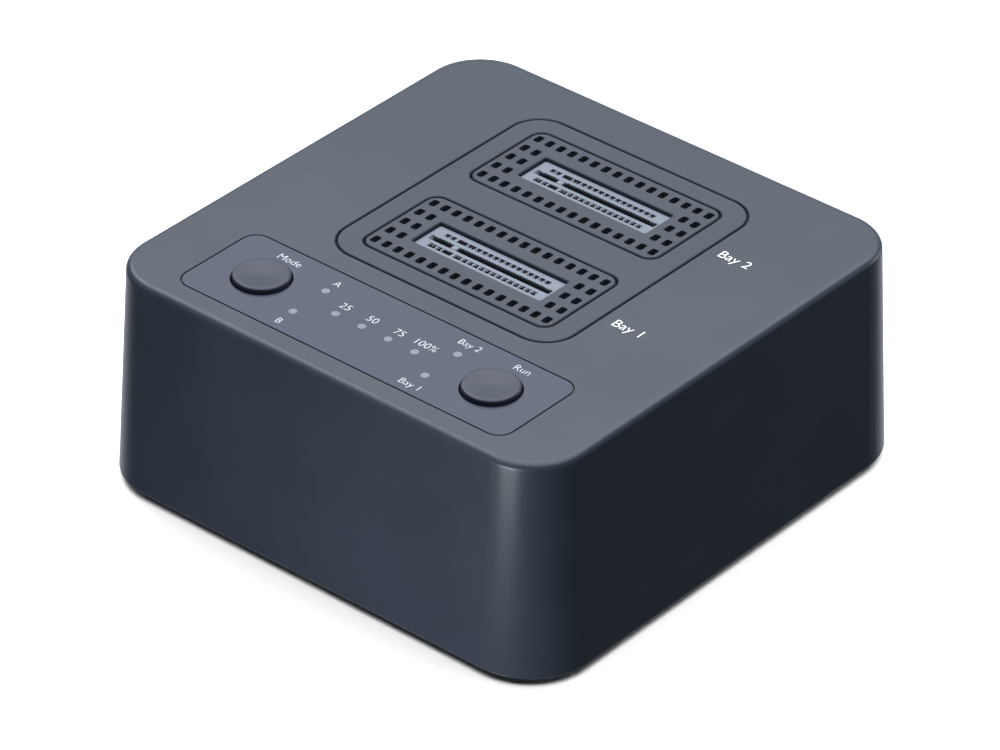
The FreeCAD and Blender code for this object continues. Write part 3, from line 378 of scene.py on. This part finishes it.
bpy.ops.object.select_all(action="DESELECT")
bpy.ops.mesh.primitive_cube_add(size=1)
pad = bpy.context.object
pad.scale = pad_size
bpy.ops.object.transform_apply(location=True, rotation=True, scale=True)
pad.modifiers.new("edge", "BEVEL").width = pad_proud / 2
bpy.ops.object.modifier_apply(modifier="edge")
pads = []
for face in (-1, 1):
    for column in range(pad_count):
        copy = pad.copy()
        copy.data = pad.data.copy()
        copy.data.transform(Matrix.Translation((
            tongue_middle.x + (column - (pad_count - 1) / 2) * pad_pitch,
            tongue_high.y - pad_setback - pad_size.y / 2,
            tongue_middle.z + face * (tongue_half_thickness + pad_proud - pad_size.z / 2),
        )))
        bpy.context.scene.collection.objects.link(copy)
        pads.append(copy)
bpy.data.objects.remove(pad)
for copy in pads:
    copy.select_set(True)
bpy.context.view_layer.objects.active = pads[0]
bpy.ops.object.join()
usb_contacts = bpy.context.object
usb_contacts.name = "usb_c_contacts"
usb_contacts.data.materials.append(metal("pad_gold", pad_gold, 0.3))
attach(usb_contacts, "root")

# ---------------------------------------------------------------- Top housing
# One deep moulding in dark blue-grey plastic with a very fine satin grain: the top, the four
# drafted walls and the bosses inside.
housing_grey = (0.025, 0.034, 0.048)

shell_plastic = moulded("housing_plastic", housing_grey, 0.36, 0.16, 0.006, 0.06)
dress(shell_plastic, "top_housing")

# ---------------------------------------------------------------- Bay plate and grilles
# The same plastic from other tools: a flush plate clipped into the housing, and a vented
# insert clipped into the plate round each socket.
insert_grey = (0.025, 0.033, 0.047)

dress(moulded("insert_plastic", insert_grey, 0.45, 0.16, 0.006, 0.06),
      "bay_plate", "source_grille", "target_grille")

# ---------------------------------------------------------------- Control strip and light guides
# A thin satin film lies flush in its recess. Milky light guides come up through it and stop
# level with its face.
film_grey = (0.029, 0.037, 0.061)
guide_milk = (0.125, 0.140, 0.182)

dress(moulded("overlay_film", film_grey, 0.4, 0.1, 0.003, 0.04), "control_overlay")
dress(moulded("light_guide", guide_milk, 0.25, 0.5, 0.002, 0.04),
      "progress_light_guide", "mode_light_guide", "drive_light_guide")

# ---------------------------------------------------------------- Buttons
# Two round caps, moulded in the housing's plastic and a little smoother. Each has a rounded
# rim and a faint dish for the fingertip.
button_grey = (0.021, 0.027, 0.044)

dress(moulded("button_plastic", button_grey, 0.36, 0.2, 0.004, 0.04),
      "mode_button_cap", "start_button_cap")

# ---------------------------------------------------------------- Legends
# Pad-printed ink, a few hundredths of a millimetre thick: bay numbers beside the bays, the
# progress scale and plain names on the strip, and the rocker's two marks.
ink_white = (0.80, 0.80, 0.82)
ink_grey = (0.50, 0.51, 0.55)
ink_thickness = 0.02 * mm
capital_share = 0.73
rocker_mark_height = 2.2
rocker_face_lean = 0.9
top_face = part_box("bay_plate")[1].z
stroke_trim = 0.025 * mm
plate_legends = (
    ("bay_2_legend", "Bay 2", (24.5, 17.6), 1.75),
    ("bay_1_legend", "Bay 1", (24.5, -4.7), 1.75),
)
strip_legends = (
    ("mode_legend", "Mode", (-20.0, -21.45), 1.3),
    ("run_legend", "Run", (20.3, -21.1), 1.3),
    ("lamp_a_legend", "A", (-11.35, -21.6), 1.25),
    ("lamp_b_legend", "B", (-11.4, -33.2), 1.25),
    ("lamp_bay_2_legend", "Bay 2", (11.4, -21.2), 1.25),
    ("lamp_bay_1_legend", "Bay 1", (11.5, -33.2), 1.25),
    ("scale_25_legend", "25", (-6.9, -25.0), 1.35),
    ("scale_50_legend", "50", (-2.2, -25.0), 1.35),
    ("scale_75_legend", "75", (2.5, -25.0), 1.35),
    ("scale_100_legend", "100%", (7.0, -25.0), 1.35),
)
plate_ink = moulded("plate_ink", ink_white, 0.5, 0.08, 0.004, 0.03)
strip_ink = moulded("strip_ink", ink_grey, 0.5, 0.08, 0.004, 0.03)


def legend(name, words, capital_height, place, finish, body, align="TOP_BASELINE"):
    """Printed words, centred, lying on the face that place gives."""
    bpy.ops.object.select_all(action="DESELECT")
    bpy.ops.object.text_add()
    print_line = bpy.context.object
    print_line.data.body = words
    print_line.data.align_x = "CENTER"
    print_line.data.align_y = align
    print_line.data.size = capital_height * mm / capital_share
    print_line.data.extrude = ink_thickness / 2
    print_line.data.offset = -stroke_trim
    bpy.ops.object.convert(target="MESH")
    print_line.name = name
    print_line.data.transform(place @ Matrix.Translation((0, 0, ink_thickness / 2)))
    print_line.data.materials.append(finish)
    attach(print_line, body)
    return print_line


def rocker_half(side):
    """The middle of one half of the rocker's face, turned so that print on it reads from behind."""
    middle = sum(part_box("power_rocker"), Vector()) / 2
    facets = [
        facet for facet in nodes["power_rocker"].data.polygons
        if facet.normal.y > rocker_face_lean and (facet.center.x - middle.x) * side > 0
    ]
    area = sum(facet.area for facet in facets)
    centre = sum((facet.center * facet.area for facet in facets), Vector()) / area
    outward = sum((facet.normal * facet.area for facet in facets), Vector()).normalized()
    up = Vector((0, 0, 1))
    across = up.cross(outward)
    return Matrix.Translation(centre) @ Matrix((across, up, outward)).transposed().to_4x4()


for finish, lines in ((plate_ink, plate_legends), (strip_ink, strip_legends)):
    for name, words, (x, y), capital_height in lines:
        place = Matrix.Translation((x * mm, y * mm, top_face))
        legend(name, words, capital_height, place, finish, "root")
quarter_turn = Matrix.Rotation(math.pi / 2, 4, "Z")
legend("on_mark", "I", rocker_mark_height, rocker_half(-1) @ quarter_turn,
       plate_ink, "rocker", "CENTER")
legend("off_mark", "O", rocker_mark_height, rocker_half(1), plate_ink, "rocker", "CENTER")
